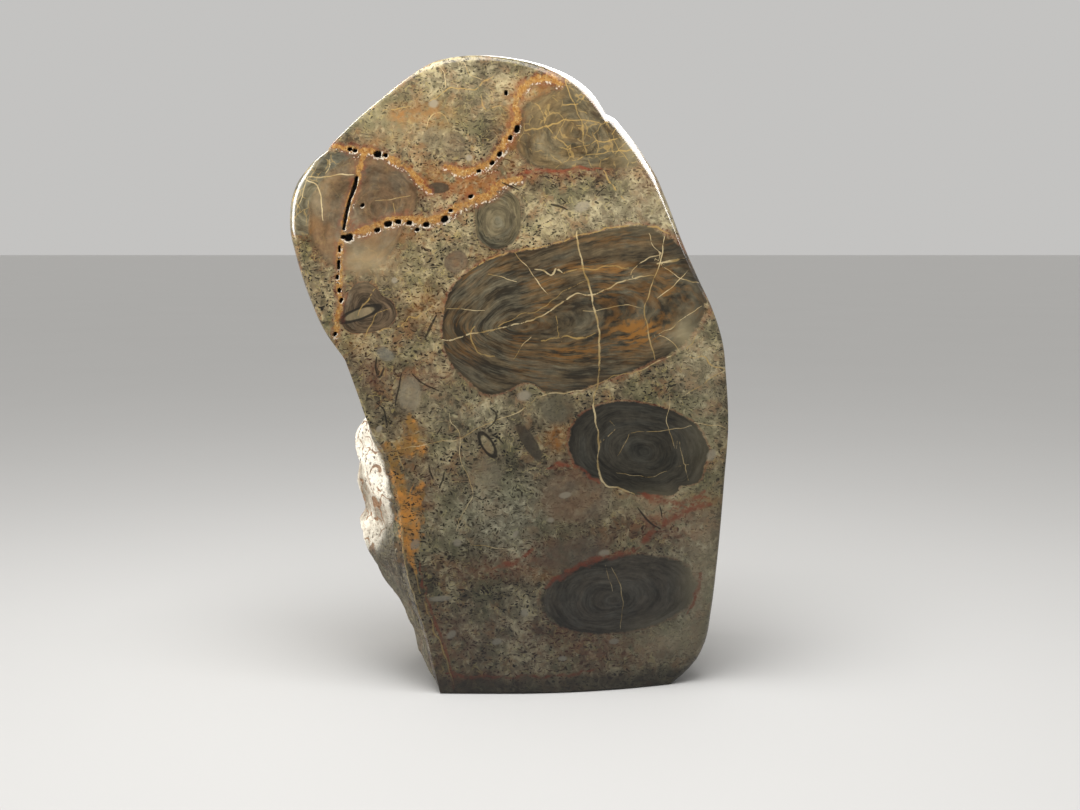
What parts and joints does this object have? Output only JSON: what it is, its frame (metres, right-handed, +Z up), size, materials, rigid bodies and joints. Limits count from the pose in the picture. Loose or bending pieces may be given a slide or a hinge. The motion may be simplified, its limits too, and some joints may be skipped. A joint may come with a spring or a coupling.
{
  "type": "stromatolite",
  "caption": "Freestanding slab of fossil stromatolite limestone with a domed polished face, a broken left side, a rough back and a flat sawn base to stand on.",
  "frame": {"origin": "middle of the underside of the bounding box, in the plane of the sawn base", "axes": "+Z up, -Y out of the polished face, +X to the right of someone who looks at the polished face"},
  "size_m": [0.1041, 0.0561, 0.15],
  "materials": {
    "polished_limestone": "high polish on the face and the front half of the sides, rough on the left side and the back"
  },
  "bodies": {
    "root": {"stromatolite": "polished_limestone"}
  },
  "joints": []
}
